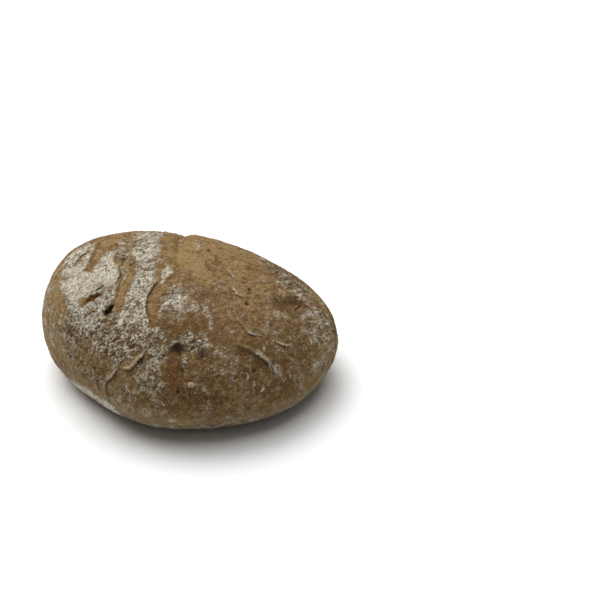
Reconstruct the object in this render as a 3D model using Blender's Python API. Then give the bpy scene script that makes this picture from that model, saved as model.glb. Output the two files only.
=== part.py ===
# A round country loaf, one solid: a low oval dome on a flat base, with the tears, curled lips
# and hollows that its skin took in the oven. Metres, +Z up, the base's centre at the origin.
#
# Places on the crust are given on a map of it, laid out flat from the crown: (0, 0) is the
# crown, a point 1 away from it lies on the waist, the widest level, and FOOT away is the edge
# of the flat base. The map's axes run along X and Y.

import math
import random

import bmesh
import bpy
import numpy as np

# Driving sizes of the loaf
LENGTH = 0.200
WIDTH = 0.165
HEIGHT = 0.0756
WAIST_HEIGHT = 0.0293
WAIST_TILT = 0.004          # the waist is this much lower at the +X end, and higher at the other
SHOULDER = 0.85             # under 1 makes the dome's shoulders fuller than an ellipse
BASE_SHARE = 0.66           # radius of the flat base, as a share of the waist's
FOOT = 1.5                  # the base's edge on the crust map
UNDERSIDE_ROUNDNESS = 0.8   # under 1 makes the underside's rounding fuller
CROWN_SHIFT = (-0.0305, 0.0122)     # the crown leans over to one end
CORNER_SHARE = 0.031        # a faint three-cornered plan, as a share of the radius
CORNER_TURN = math.radians(41)

# Slow unevenness of the whole loaf
LUMP_SEED = 11
LUMP_COUNT = 10
LUMP_HEIGHT = 0.00030
LUMP_LENGTHS = (0.040, 0.080)

# The mesh, laid out on the map before it is wrapped round the loaf
CAP_REACH = 0.62            # radius of the squared patch over the crown, on the map
CAP_CELLS = 26              # cells along each side of that patch
RING_COUNT = 13             # rings of cells from the patch out to the foot
SPLIT_ROUNDS = 3
BULGE_ALLOWED = 0.00016     # an edge is split where the crust stands further from it than this
ROUTE_STEPS = 6             # straight steps between two points of a mark's route
STEP_ON_MAP = 0.001         # map step for taking the surface's direction

# Marks in the skin. route: its points on the map. half: half its width. rise: how far it
# stands out, or sinks in where negative. A "tear" is a trench with a flat floor and a raised
# rim, a "lip" a narrow ridge that dies away at its ends, and a "hollow" a soft dip.
MARKS = {
    "front_tear": dict(kind="tear", half=0.0038, rise=-0.0021, route=[
        (0.14, -0.06), (0.12, -0.14), (0.10, -0.21), (0.09, -0.27), (0.11, -0.34), (0.13, -0.42)]),
    "long_tear": dict(kind="tear", half=0.0028, rise=-0.0012, route=[
        (-0.08, 0.00), (-0.07, -0.10), (-0.05, -0.20), (-0.06, -0.31), (-0.09, -0.41)]),
    "end_tear": dict(kind="tear", half=0.0031, rise=-0.0013, route=[
        (-0.26, 0.10), (-0.22, -0.03), (-0.23, -0.10), (-0.26, -0.16)]),
    "red_hole": dict(kind="tear", half=0.0026, rise=-0.0026, route=[
        (-0.30, -0.34), (-0.25, -0.32), (-0.22, -0.28)]),
    "dark_hole": dict(kind="tear", half=0.0023, rise=-0.0028, route=[
        (-0.20, -0.44), (-0.18, -0.41), (-0.16, -0.38)]),
    "crown_valley": dict(kind="hollow", half=0.0110, rise=-0.0019, route=[
        (-0.08, 0.40), (0.00, 0.27), (0.06, 0.16), (0.09, 0.06), (0.20, -0.05)]),
    "side_dent": dict(kind="hollow", half=0.0060, rise=-0.0015, route=[
        (0.49, 0.00), (0.50, 0.04), (0.55, 0.08), (0.63, 0.15)]),
    "front_hollow": dict(kind="hollow", half=0.0042, rise=-0.0027, route=[
        (0.24, -0.54), (0.27, -0.51), (0.30, -0.50), (0.34, -0.49)]),
    "front_brow": dict(kind="lip", half=0.0026, rise=0.0017, route=[
        (0.20, -0.56), (0.24, -0.48), (0.27, -0.46), (0.30, -0.41), (0.34, -0.37)]),
    "tear_edge": dict(kind="lip", half=0.0020, rise=0.0013, route=[
        (0.08, -0.06), (0.09, -0.13), (0.05, -0.19), (0.04, -0.26), (0.06, -0.33), (0.07, -0.41)]),
    "low_curl": dict(kind="lip", half=0.0022, rise=0.0020, route=[
        (0.10, -0.57), (0.08, -0.64), (0.04, -0.69), (-0.01, -0.73), (-0.08, -0.75)]),
    "low_curl_dip": dict(kind="hollow", half=0.0034, rise=-0.0013, route=[
        (0.12, -0.62), (0.08, -0.69), (0.03, -0.75), (-0.06, -0.79)]),
    "low_crease": dict(kind="lip", half=0.0018, rise=0.0013, route=[
        (-0.08, -0.76), (-0.14, -0.81), (-0.20, -0.87), (-0.24, -0.93), (-0.25, -1.04)]),
    "corner_crease": dict(kind="lip", half=0.0017, rise=0.0010, route=[
        (-0.32, -0.83), (-0.32, -0.92), (-0.37, -1.00), (-0.36, -1.06)]),
    "upper_curl": dict(kind="lip", half=0.0018, rise=0.0011, route=[
        (0.22, 0.09), (0.27, 0.05), (0.32, 0.02), (0.39, 0.04)]),
    "middle_curl": dict(kind="lip", half=0.0018, rise=0.0011, route=[
        (0.29, 0.01), (0.33, -0.03), (0.38, -0.06), (0.43, -0.01)]),
    "inner_curl": dict(kind="lip", half=0.0019, rise=0.0013, route=[
        (0.40, -0.16), (0.45, -0.21), (0.51, -0.24), (0.56, -0.21)]),
    "outer_curl": dict(kind="lip", half=0.0018, rise=0.0013, route=[
        (0.59, -0.21), (0.65, -0.19), (0.69, -0.13)]),
    "big_curl": dict(kind="lip", half=0.0023, rise=0.0021, route=[
        (0.44, -0.34), (0.50, -0.35), (0.56, -0.33), (0.62, -0.34), (0.67, -0.36), (0.72, -0.39)]),
    "big_curl_dip": dict(kind="hollow", half=0.0038, rise=-0.0017, route=[
        (0.53, -0.38), (0.59, -0.39), (0.64, -0.41), (0.69, -0.43)]),
    "back_tear": dict(kind="tear", half=0.0036, rise=-0.0019, route=[
        (0.12, 0.44), (0.20, 0.53), (0.24, 0.63), (0.22, 0.74)]),
    "back_tear_left": dict(kind="tear", half=0.0030, rise=-0.0015, route=[
        (-0.34, 0.36), (-0.29, 0.47), (-0.31, 0.58), (-0.38, 0.68)]),
    "back_curl": dict(kind="lip", half=0.0022, rise=0.0019, route=[
        (0.48, 0.60), (0.40, 0.69), (0.37, 0.78), (0.38, 0.86)]),
    "back_curl_dip": dict(kind="hollow", half=0.0036, rise=-0.0014, route=[
        (0.43, 0.66), (0.35, 0.74), (0.32, 0.82)]),
    "back_crease": dict(kind="lip", half=0.0019, rise=0.0014, route=[
        (-0.08, 0.78), (-0.14, 0.84), (-0.12, 0.92), (-0.18, 1.00)]),
    "end_curl": dict(kind="lip", half=0.0020, rise=0.0015, route=[
        (-0.68, 0.10), (-0.75, 0.17), (-0.77, 0.26), (-0.73, 0.34)]),
    "end_hollow": dict(kind="hollow", half=0.0055, rise=-0.0016, route=[
        (-0.62, 0.40), (-0.66, 0.48), (-0.72, 0.52)]),
}
TEAR_FLOOR = 0.45           # share of a tear's half width that is flat floor
RIM_SHARE = 0.35            # height of a tear's rim, as a share of its depth
END_TAPER = 0.30            # share of a mark's length that fades out at each end
PITS = [(0.39, 0.00), (0.42, -0.08), (0.62, -0.43), (0.37, -0.78), (0.48, -0.72), (0.12, 0.13),
        (-0.45, 0.62), (0.62, 0.48)]
PIT_RADIUS = 0.0018
PIT_DEPTH = 0.0014
SMOOTH_UNDERSIDE = (1.15, 1.45)     # the marks fade out between these two distances on the map

CRUST_COLOUR = (0.230, 0.130, 0.055, 1.0)
CRUST_ROUGHNESS = 0.8
SHARP_ANGLE = math.radians(50)


def smooth_step(low, high, value):
    share = np.clip((value - low) / (high - low), 0.0, 1.0)
    return share * share * (3.0 - 2.0 * share)


def waist_radius(angle):
    half_length, half_width = LENGTH / 2, WIDTH / 2
    oval = half_length * half_width / np.hypot(half_width * np.cos(angle), half_length * np.sin(angle))
    return oval * (1 + CORNER_SHARE * np.cos(3 * (angle - CORNER_TURN)))


def smooth_crust(places):
    """Points of the loaf without its marks, for an array of places on the crust map."""
    reach = np.hypot(places[:, 0], places[:, 1])
    angle = np.arctan2(places[:, 1], places[:, 0])
    climb = (1 - np.minimum(reach, 1)) * math.pi / 2
    dive = np.clip((reach - 1) / (FOOT - 1), 0, 1) * math.pi / 2
    spread = np.maximum(np.cos(climb), 0)
    turn_under = BASE_SHARE + (1 - BASE_SHARE) * np.maximum(np.cos(dive), 0) ** UNDERSIDE_ROUNDNESS
    radius = waist_radius(angle) * np.where(reach < 1, spread ** SHOULDER, turn_under)
    tilt = WAIST_TILT * np.cos(angle)
    over = WAIST_HEIGHT + (HEIGHT - WAIST_HEIGHT) * np.sin(climb) - tilt * spread
    below = (WAIST_HEIGHT - tilt) * (1 - np.sin(dive))
    lean = np.sin(climb) ** 2
    return np.stack([
        radius * np.cos(angle) + CROWN_SHIFT[0] * lean,
        radius * np.sin(angle) + CROWN_SHIFT[1] * lean,
        np.where(reach < 1, over, below),
    ], axis=1)


def outward(places):
    """Unit directions square to the smooth crust."""
    along = smooth_crust(places + (STEP_ON_MAP, 0)) - smooth_crust(places - (STEP_ON_MAP, 0))
    across = smooth_crust(places + (0, STEP_ON_MAP)) - smooth_crust(places - (0, STEP_ON_MAP))
    normal = np.cross(along, across)
    return normal / np.linalg.norm(normal, axis=1, keepdims=True)


def smooth_route(points):
    """A Catmull-Rom curve through the route's points, on the map."""
    ends = [points[0]] + points + [points[-1]]
    curve = []
    for before, start, stop, after in zip(ends, ends[1:], ends[2:], ends[3:]):
        a, b, c, d = (np.array(point) for point in (before, start, stop, after))
        for t in np.arange(ROUTE_STEPS) / ROUTE_STEPS:
            bend = 2 * a - 5 * b + 4 * c - d
            twist = 3 * b - a - 3 * c + d
            curve.append(b + 0.5 * ((c - a) * t + bend * t ** 2 + twist * t ** 3))
    curve.append(np.array(points[-1]))
    return np.array(curve)


def beside_route(points, route):
    """For each point, how far a route on the crust is from it, and the share of the route passed there."""
    line = smooth_crust(smooth_route(route))
    passed = np.concatenate([[0], np.cumsum(np.linalg.norm(np.diff(line, axis=0), axis=1))])
    distance = np.full(len(points), np.inf)
    share = np.zeros(len(points))
    for start, stop, before, after in zip(line, line[1:], passed, passed[1:]):
        span = stop - start
        t = np.clip((points - start) @ span / (span @ span), 0, 1)
        away = np.linalg.norm(points - start - t[:, None] * span, axis=1)
        nearer = away < distance
        distance = np.where(nearer, away, distance)
        share = np.where(nearer, (before + t * (after - before)) / passed[-1], share)
    return distance, share


def mark_height(points, kind, half, rise, route):
    distance, share = beside_route(points, route)
    fade = smooth_step(0, END_TAPER, share) * smooth_step(0, END_TAPER, 1 - share)
    if kind == "tear":
        half = half * (0.35 + 0.65 * fade)
        trench = 1 - smooth_step(TEAR_FLOOR * half, half, distance)
        rim = np.exp(-(((distance - 1.3 * half) / (0.5 * half)) ** 2))
        return rise * trench - RIM_SHARE * rise * rim * fade
    if kind == "lip":
        return rise * fade * np.exp(-((distance / (0.6 * half)) ** 2))
    return rise * (0.3 + 0.7 * fade) * np.exp(-((distance / half) ** 2))


def lumps(points):
    """Slow waves over the whole loaf, from a seeded draw."""
    draw = random.Random(LUMP_SEED)
    height = np.zeros(len(points))
    for _ in range(LUMP_COUNT):
        heading = np.array([draw.gauss(0, 1) for _ in range(3)])
        wave = heading / np.linalg.norm(heading) * 2 * math.pi / draw.uniform(*LUMP_LENGTHS)
        height += LUMP_HEIGHT * np.sin(points @ wave + draw.uniform(0, 2 * math.pi))
    return height


def crust(places):
    """Points of the marked loaf, for an array of places on the crust map."""
    points = smooth_crust(places)
    height = lumps(points)
    for mark in MARKS.values():
        height += mark_height(points, **mark)
    for pit in smooth_crust(np.array(PITS)):
        height -= PIT_DEPTH * np.exp(-((np.linalg.norm(points - pit, axis=1) / PIT_RADIUS) ** 2))
    height *= 1 - smooth_step(*SMOOTH_UNDERSIDE, np.hypot(places[:, 0], places[:, 1]))
    return points + outward(places) * height[:, None]


def flat_map():
    """The mesh laid flat on the map: a squared patch over the crown, with rings of cells round it."""
    mesh = bmesh.new()
    bmesh.ops.create_grid(mesh, x_segments=CAP_CELLS, y_segments=CAP_CELLS, size=1)
    for vert in mesh.verts:
        a, b, _ = vert.co
        vert.co.x = CAP_REACH * a * math.sqrt(1 - b * b / 2)
        vert.co.y = CAP_REACH * b * math.sqrt(1 - a * a / 2)
    rim = [edge for edge in mesh.edges if edge.is_boundary]
    for ring in range(RING_COUNT):
        reach = CAP_REACH + (FOOT - CAP_REACH) * (ring + 1) / RING_COUNT
        grown = bmesh.ops.extrude_edge_only(mesh, edges=rim)["geom"]
        rim = [item for item in grown if isinstance(item, bmesh.types.BMEdge)]
        for vert in {vert for edge in rim for vert in edge.verts}:
            vert.co *= reach / vert.co.length
    return mesh


def places_of(mesh):
    return np.array([vert.co.xy for vert in mesh.verts])


def split_cells(mesh):
    """Splits the edges that the crust bulges away from, so that cells are small where a mark runs."""
    for _ in range(SPLIT_ROUNDS):
        mesh.verts.index_update()
        edges = [edge for edge in mesh.edges if not edge.is_boundary]
        ends = np.array([[vert.index for vert in edge.verts] for edge in edges])
        places = places_of(mesh)
        middles = places[ends].mean(axis=1)
        gap = crust(middles) - crust(places)[ends].mean(axis=1)
        bulge = np.abs((gap * outward(middles)).sum(axis=1))
        uneven = [edge for edge, size in zip(edges, bulge) if size > BULGE_ALLOWED]
        bmesh.ops.subdivide_edges(mesh, edges=uneven, cuts=1)
        bmesh.ops.triangulate(mesh, faces=mesh.faces)


def wrap(mesh):
    """Moves the flat mesh onto the loaf, which then stands with its plan centred on the origin."""
    points = crust(places_of(mesh))
    points[:, :2] -= (points[:, :2].min(axis=0) + points[:, :2].max(axis=0)) / 2
    for vert, point in zip(mesh.verts, points):
        vert.co = point


def crust_material():
    material = bpy.data.materials.new("floured_crust")
    material.use_nodes = True
    shader = material.node_tree.nodes["Principled BSDF"]
    shader.inputs["Base Color"].default_value = CRUST_COLOUR
    shader.inputs["Roughness"].default_value = CRUST_ROUGHNESS
    shader.inputs["Metallic"].default_value = 0.0
    return material


def make_loaf():
    mesh = flat_map()
    split_cells(mesh)
    wrap(mesh)
    base_edge = [edge for edge in mesh.edges if edge.is_boundary]
    bmesh.ops.contextual_create(mesh, geom=base_edge)
    bmesh.ops.recalc_face_normals(mesh, faces=mesh.faces)
    bmesh.ops.triangulate(mesh, faces=mesh.faces)
    data = bpy.data.meshes.new("loaf")
    mesh.to_mesh(data)
    mesh.free()
    data.shade_smooth()
    data.set_sharp_from_angle(angle=SHARP_ANGLE)
    data.materials.append(crust_material())
    bpy.context.scene.collection.objects.link(bpy.data.objects.new("loaf", data))


for old in list(bpy.data.objects):
    bpy.data.objects.remove(old)
make_loaf()
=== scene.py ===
import math
import random

import bmesh
import bpy
import numpy as np
from mathutils import Matrix, Vector, noise


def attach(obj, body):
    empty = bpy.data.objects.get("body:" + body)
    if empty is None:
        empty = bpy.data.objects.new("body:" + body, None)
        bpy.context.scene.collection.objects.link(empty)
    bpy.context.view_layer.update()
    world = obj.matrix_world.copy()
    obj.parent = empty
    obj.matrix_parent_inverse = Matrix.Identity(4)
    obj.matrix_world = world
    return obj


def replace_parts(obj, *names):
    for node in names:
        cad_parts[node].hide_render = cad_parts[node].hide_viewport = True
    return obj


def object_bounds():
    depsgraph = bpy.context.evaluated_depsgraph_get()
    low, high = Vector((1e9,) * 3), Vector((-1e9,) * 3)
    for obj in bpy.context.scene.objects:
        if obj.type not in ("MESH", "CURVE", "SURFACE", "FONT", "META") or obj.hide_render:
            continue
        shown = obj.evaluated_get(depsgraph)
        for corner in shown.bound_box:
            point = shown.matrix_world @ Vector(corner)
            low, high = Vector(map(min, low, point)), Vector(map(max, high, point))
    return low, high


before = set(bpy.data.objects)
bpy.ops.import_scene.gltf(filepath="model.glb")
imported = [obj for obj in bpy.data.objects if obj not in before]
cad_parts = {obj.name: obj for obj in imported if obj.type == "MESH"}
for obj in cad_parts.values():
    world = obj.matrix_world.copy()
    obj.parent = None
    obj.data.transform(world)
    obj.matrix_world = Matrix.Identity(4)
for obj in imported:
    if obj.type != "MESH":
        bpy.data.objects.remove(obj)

cadLow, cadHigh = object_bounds()
print("frame loaded, the loaf measures", [round(side * 1000, 1) for side in cadHigh - cadLow], "mm")

# The loaf's form, the same as the solid's. Places on the crust are given on a map of it, laid out
# flat from the crown: (0, 0) is the crown, 1 away is the waist, foot away the edge of the base.
# Routes, outlines and spots are in thousandths of that: (88, -172) is 0.088 along and 0.172 across.
loaf = dict(
    length=0.200, width=0.165, height=0.0756,
    waistHeight=0.0293, waistTilt=0.004,        # the waist hangs lower at the +X end
    shoulder=0.85,                              # under 1 is fuller than an ellipse
    baseShare=0.66, foot=1.5, underRoundness=0.8,
    crownShift=(-0.0305, 0.0122),
    cornerShare=0.031, cornerTurn=41,           # a faint three-cornered plan
    lumpSeed=11, lumpCount=10, lumpHeight=0.0003, lumpLengths=(0.040, 0.080),
    smoothUnder=(1.15, 1.45),                   # relief fades out over this stretch of the map
)

# How fine the crust's mesh is, in metres between its points
crustMesh = dict(topStep=0.00042, underStep=0.0009, baseStep=0.0028, splits=(0.50, 0.76, 0.9999))


def smoothStep(low, high, value):
    share = np.clip((value - low) / (high - low), 0, 1)
    return share * share * (3 - 2 * share)


def bell(value):                         # 1 at 0, and falls off on both sides
    return np.exp(-(value ** 2))


def unit(vectors):
    return vectors / np.linalg.norm(vectors, axis=1, keepdims=True)


def passedAlong(line):                   # how far along a line each of its points lies
    return np.concatenate([[0], np.cumsum(np.linalg.norm(np.diff(line, axis=0), axis=1))])


def waistRadius(angle):
    halfLength, halfWidth = loaf["length"] / 2, loaf["width"] / 2
    oval = halfLength * halfWidth / np.hypot(halfWidth * np.cos(angle), halfLength * np.sin(angle))
    return oval * (1 + loaf["cornerShare"] * np.cos(3 * (angle - math.radians(loaf["cornerTurn"]))))


def smoothCrust(places):
    reach = np.hypot(places[:, 0], places[:, 1])
    angle = np.arctan2(places[:, 1], places[:, 0])
    climb = (1 - np.minimum(reach, 1)) * math.pi / 2
    dive = np.clip((reach - 1) / (loaf["foot"] - 1), 0, 1) * math.pi / 2
    spread = np.maximum(np.cos(climb), 0)
    turnUnder = np.maximum(np.cos(dive), 0) ** loaf["underRoundness"]
    share = np.where(reach < 1, spread ** loaf["shoulder"],
                     loaf["baseShare"] + (1 - loaf["baseShare"]) * turnUnder)
    share = share * np.clip((2 - reach) / (2 - loaf["foot"]), 0, 1)
    radius = waistRadius(angle) * share
    tilt = loaf["waistTilt"] * np.cos(angle)
    rise = loaf["height"] - loaf["waistHeight"]
    over = loaf["waistHeight"] + rise * np.sin(climb) - tilt * spread
    below = (loaf["waistHeight"] - tilt) * (1 - np.sin(dive))
    lean = np.sin(climb) ** 2
    return np.stack([
        radius * np.cos(angle) + loaf["crownShift"][0] * lean,
        radius * np.sin(angle) + loaf["crownShift"][1] * lean,
        np.where(reach < 1, over, below),
    ], axis=1)


def outward(places, step=0.001):
    along = smoothCrust(places + (step, 0)) - smoothCrust(places - (step, 0))
    across = smoothCrust(places + (0, step)) - smoothCrust(places - (0, step))
    normal = np.cross(along, across)
    size = np.linalg.norm(normal, axis=1, keepdims=True)
    return np.where(size > 1e-12, normal / np.maximum(size, 1e-12), (0, 0, -1))


def tear(half, rise, **rest):            # half the width, and the height, or depth where negative
    return dict(kind="tear", half=half, rise=rise, **rest)


def lip(half, rise, **rest):
    return dict(kind="lip", half=half, rise=rise, **rest)


def hollow(half, rise, **rest):
    return dict(kind="hollow", half=half, rise=rise, **rest)


# Marks in the skin, as on the solid. steep: the side of a lip that drops away, and cliff the sheer
# side of a tear, 1 being the left as its route runs, and 0 both; floorShare: the share of a tear's
# width that is floor; fray: how torn its edge is; curl: how wide the torn skin on a lip is, 0 for
# none; torn: from where to where on its route the skin curls; shade: how dark the mark's shadow is.
marks = dict(
    frontTear=tear(0.0034, -0.0016, cliff=-1, floorShare=0.7, route=[
        (88, -172), (91, -200), (96, -235), (100, -270), (106, -330), (120, -380), (128, -420)]),
    longTear=tear(0.0030, -0.0007, cliff=-1, floorShare=0.2, shade=0.3, route=[
        (-80, 0), (-70, -100), (-50, -200), (-60, -310), (-90, -410)]),
    endTear=tear(0.0034, -0.0008, cliff=-1, floorShare=0.1, shade=0.35, route=[
        (-260, 100), (-220, -30), (-230, -100), (-260, -160)]),
    redHole=tear(0.0028, -0.0018, cliff=0, floorShare=0.4, shade=0.3, fray=2.2, route=[
        (-250, -366), (-205, -348), (-168, -320)]),
    darkHole=tear(0.0022, -0.0028, cliff=0, floorShare=0.3, fray=3.5, route=[
        (-130, -430), (-103, -405), (-83, -375)]),
    crownValley=hollow(0.0110, -0.0019, route=[
        (-80, 400), (0, 270), (60, 160), (90, 60), (200, -50)]),
    sideDent=hollow(0.0060, -0.0015, route=[
        (490, 0), (500, 40), (550, 80), (630, 150)]),
    frontHollow=hollow(0.0042, -0.0017, route=[
        (240, -540), (270, -510), (300, -500), (340, -490)]),
    frontBrow=lip(0.0017, 0.0012, steep=-1, curl=0.3, torn=(0.1, 0.45), route=[
        (210, -530), (240, -480), (270, -465), (300, -430), (340, -400)]),
    tearEdge=lip(0.0013, 0.0005, steep=1, curl=0, shade=0.3, route=[
        (100, -170), (85, -210), (80, -270), (85, -330), (100, -400)]),
    lowCurl=lip(0.0017, 0.0016, steep=1, curl=0.55, torn=(0.05, 1), route=[
        (97, -572), (93, -588), (78, -625), (48, -670), (15, -715), (-22, -740), (-67, -745)]),
    lowCurlDip=hollow(0.0032, -0.0013, route=[
        (120, -620), (90, -690), (45, -745), (-50, -785)]),
    lowCrease=lip(0.0016, 0.0013, steep=1, curl=0.4, torn=(0, 0.4), shade=1.9, route=[
        (-80, -748), (-123, -800), (-160, -838), (-220, -885), (-245, -945), (-255, -1038), (-250, -1120)]),
    cornerCrease=lip(0.0014, 0.0009, steep=1, curl=0.4, torn=(0.1, 0.5), shade=1.3, route=[
        (-320, -830), (-320, -920), (-360, -1000), (-353, -1045), (-330, -1107), (-278, -1143)]),
    upperCurl=lip(0.0015, 0.0007, steep=-1, curl=0.5, torn=(0.3, 0.68), shade=0.4, route=[
        (220, 90), (270, 50), (320, 20), (390, 40)]),
    middleCurl=lip(0.0015, 0.0007, steep=-1, curl=0.5, torn=(0.3, 0.75), shade=0.4, route=[
        (290, 10), (330, -30), (380, -60), (430, -10)]),
    innerCurl=lip(0.0016, 0.0008, steep=-1, curl=0.45, torn=(0.55, 1), shade=0.6, route=[
        (400, -160), (450, -210), (510, -240), (560, -210)]),
    outerCurl=lip(0.0014, 0.0007, steep=-1, curl=0.4, shade=0.5, route=[
        (590, -200), (640, -185), (680, -155), (700, -130)]),
    bigCurl=lip(0.0018, 0.0016, steep=-1, curl=0.55, torn=(0.45, 1), route=[
        (455, -347), (507, -345), (550, -335), (580, -333), (612, -330), (652, -340), (700, -372)]),
    bigCurlDip=hollow(0.0036, -0.0017, route=[
        (530, -380), (590, -390), (640, -410), (690, -430)]),
    backTear=tear(0.0034, -0.0019, cliff=1, floorShare=0.4, route=[
        (120, 440), (200, 530), (240, 630), (220, 740)]),
    backTearLeft=tear(0.0028, -0.0015, cliff=-1, floorShare=0.3, route=[
        (-340, 360), (-290, 470), (-310, 580), (-380, 680)]),
    backCurl=lip(0.0020, 0.0014, steep=1, curl=0.6, torn=(0.35, 1), route=[
        (480, 600), (400, 690), (370, 780), (380, 860)]),
    backCurlDip=hollow(0.0036, -0.0014, route=[
        (430, 660), (350, 740), (320, 820)]),
    backCrease=lip(0.0016, 0.0013, steep=-1, route=[
        (-80, 780), (-140, 840), (-120, 920), (-180, 1000)]),
    endCurl=lip(0.0018, 0.0014, steep=1, route=[
        (-680, 100), (-750, 170), (-770, 260), (-730, 340)]),
    endHollow=hollow(0.0055, -0.0016, route=[
        (-620, 400), (-660, 480), (-720, 520)]),
)

# Slits and thin curls too small for the solid
fineMarks = dict(
    notchDip=hollow(0.0034, -0.0027, route=[
        (-80, 460), (-24, 325), (15, 240), (43, 175), (66, 107), (75, 50)]),
    notchFlap=lip(0.0013, 0.0008, steep=1, curl=0, route=[
        (85, -25), (112, -65), (118, -85), (116, -120), (118, -170)]),
    longEdge=tear(0.0008, -0.0006, cliff=0, floorShare=0.1, shade=0.7, route=[
        (-90, -110), (-70, -170), (-80, -230), (-100, -270)]),
    longFold=lip(0.0009, 0.0005, steep=1, curl=0, route=[
        (-40, -150), (-50, -200), (-50, -260)]),
    patchCrack=tear(0.0008, -0.0009, cliff=0, floorShare=0.1, route=[
        (-140, -250), (-170, -280), (-200, -310)]),
    stripeCrack=tear(0.0007, -0.0008, cliff=0, floorShare=0.1, route=[
        (-10, -80), (30, -100), (50, -60)]),
    topSlash=tear(0.0009, -0.0008, cliff=0, floorShare=0.1, route=[
        (-250, -20), (-300, -60), (-350, -130)]),
    leftSlit=tear(0.0009, -0.0009, cliff=0, floorShare=0.1, route=[
        (-400, -70), (-430, -120), (-460, -140)]),
    edgeSlit=tear(0.0009, -0.0008, cliff=0, floorShare=0.1, route=[
        (-540, -170), (-500, -150), (-460, -130)]),
    shoulderSlit=tear(0.0008, -0.0008, cliff=0, floorShare=0.1, route=[
        (530, 360), (560, 410)]),
    dentSlit=tear(0.0009, -0.0008, cliff=0, floorShare=0.1, route=[
        (590, 50), (600, 120)]),
    thinCurl=lip(0.0006, 0.0007, steep=1, route=[
        (650, -490), (670, -530), (690, -560)]),
    hookCurl=lip(0.0006, 0.0007, steep=1, route=[
        (710, -480), (730, -510), (720, -540)]),
    beadCurl=lip(0.0006, 0.0006, steep=1, route=[
        (590, -470), (610, -490), (620, -520)]),
    rimFlake=lip(0.0013, 0.0010, steep=1, route=[
        (670, -1050), (690, -1000), (720, -920)]),
    lowFlake=lip(0.0009, 0.0007, steep=-1, route=[
        (290, -1030), (320, -1050), (350, -1040)]),
    lowThread=lip(0.0008, 0.0006, steep=-1, route=[
        (210, -910), (230, -930), (250, -920)]),
    sideThread=lip(0.0007, 0.0006, steep=-1, route=[
        (20, -770), (45, -800), (70, -830)]),
    shoulderLoop=lip(0.0010, 0.0009, steep=-1, route=[
        (520, 270), (490, 220), (500, 170)]),
    lowLump=lip(0.0021, 0.0012, steep=-1, curl=0, route=[
        (285, -540), (300, -590), (325, -650), (345, -670)]),
    creaseFold=lip(0.0011, 0.0008, steep=-1, route=[
        (-340, -950), (-310, -1020), (-260, -1060)]),
)
swells = [                               # place on the map, radius and rise of broad swells and dips
    (-340, 220, 0.022, -0.0008), (-140, 280, 0.026, -0.0016), (20, 335, 0.007, 0.0012),
    (-860, -220, 0.024, 0.0017), (-740, -720, 0.014, -0.0010),
]
markShape = dict(
    endTaper=0.28, raggedness=0.0010, raggedSize=0.0030, rimShare=0.25,
    gentle=1.9,                                 # how far out a tear slopes on the side without cliff
    ridgeShare=0.65,                            # a lip's own ridge; the curled skin on it makes the rest
    shadeBeside=1.1,                            # painted shade line beside a lip, in halves of its width
)

pits = dict(
    spots=[
        (390, 0, 0.0011), (420, -80, 0.0011), (620, -430, 0.0012), (370, -780, 0.0008),
        (470, -760, 0.0008), (510, -730, 0.0007), (300, -790, 0.0012), (165, 143, 0.0011),
        (-147, 28, 0.0009), (-105, -32, 0.0007), (52, 8, 0.0008), (55, 188, 0.0007),
        (-77, -52, 0.0008), (-47, -85, 0.0007), (-450, 620, 0.0011), (620, 480, 0.0010),
    ],                                          # place on the map and radius
    depthShare=1.3,
)


def smoothRoute(route, steps=6):         # a Catmull-Rom curve through places on the map
    points = list(np.array(route) / 1000)
    ends = [points[0]] + points + [points[-1]]
    curve = []
    for a, b, c, d in zip(ends, ends[1:], ends[2:], ends[3:]):
        for t in np.arange(steps) / steps:
            bend = 2 * a - 5 * b + 4 * c - d
            twist = 3 * b - a - 3 * c + d
            curve.append(b + 0.5 * ((c - a) * t + bend * t ** 2 + twist * t ** 3))
    curve.append(points[-1])
    return np.array(curve)


def besideRoute(points, normals, route):     # distance, share of the route passed, and which side
    line = smoothCrust(smoothRoute(route))
    passed = passedAlong(line)
    distance = np.full(len(points), np.inf)
    share = np.zeros(len(points))
    side = np.zeros(len(points))
    for start, stop, before, after in zip(line, line[1:], passed, passed[1:]):
        span = stop - start
        away = points - start
        t = np.clip(away @ span / (span @ span), 0, 1)
        gap = np.linalg.norm(away - t[:, None] * span, axis=1)
        nearer = gap < distance
        distance = np.where(nearer, gap, distance)
        share = np.where(nearer, (before + t * (after - before)) / passed[-1], share)
        left = (np.cross(span, away) * normals).sum(axis=1)
        side = np.where(nearer, np.sign(left), side)
    return distance, share, side


def wave(points, size, shift=0):         # smooth noise from -1 to 1; shift picks another pattern
    spots = points / size + (shift, 0.7 * shift, -1.3 * shift)
    return np.array([noise.noise(spot) for spot in spots.tolist()])


def combed(points, heading, stretch):    # turned and squeezed, so that noise there runs along a heading
    turn = np.array(Matrix.Rotation(-math.radians(heading), 3, "Z"))
    return points @ turn.T * (stretch, 1, 1)


def lumps(points):
    draw = random.Random(loaf["lumpSeed"])
    height = np.zeros(len(points))
    for _ in range(loaf["lumpCount"]):
        heading = np.array([draw.gauss(0, 1) for _ in range(3)])
        ripple = heading / np.linalg.norm(heading) * 2 * math.pi / draw.uniform(*loaf["lumpLengths"])
        height += loaf["lumpHeight"] * np.sin(points @ ripple + draw.uniform(0, 2 * math.pi))
    return height


leftEdgeOutline = [                      # of the flour's film there, and of the paler bake below it
    (-460, -160), (-500, -360), (-520, -600), (-620, -760), (-800, -720), (-1000, -400), (-1020, 100),
    (-700, 100)]

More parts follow.
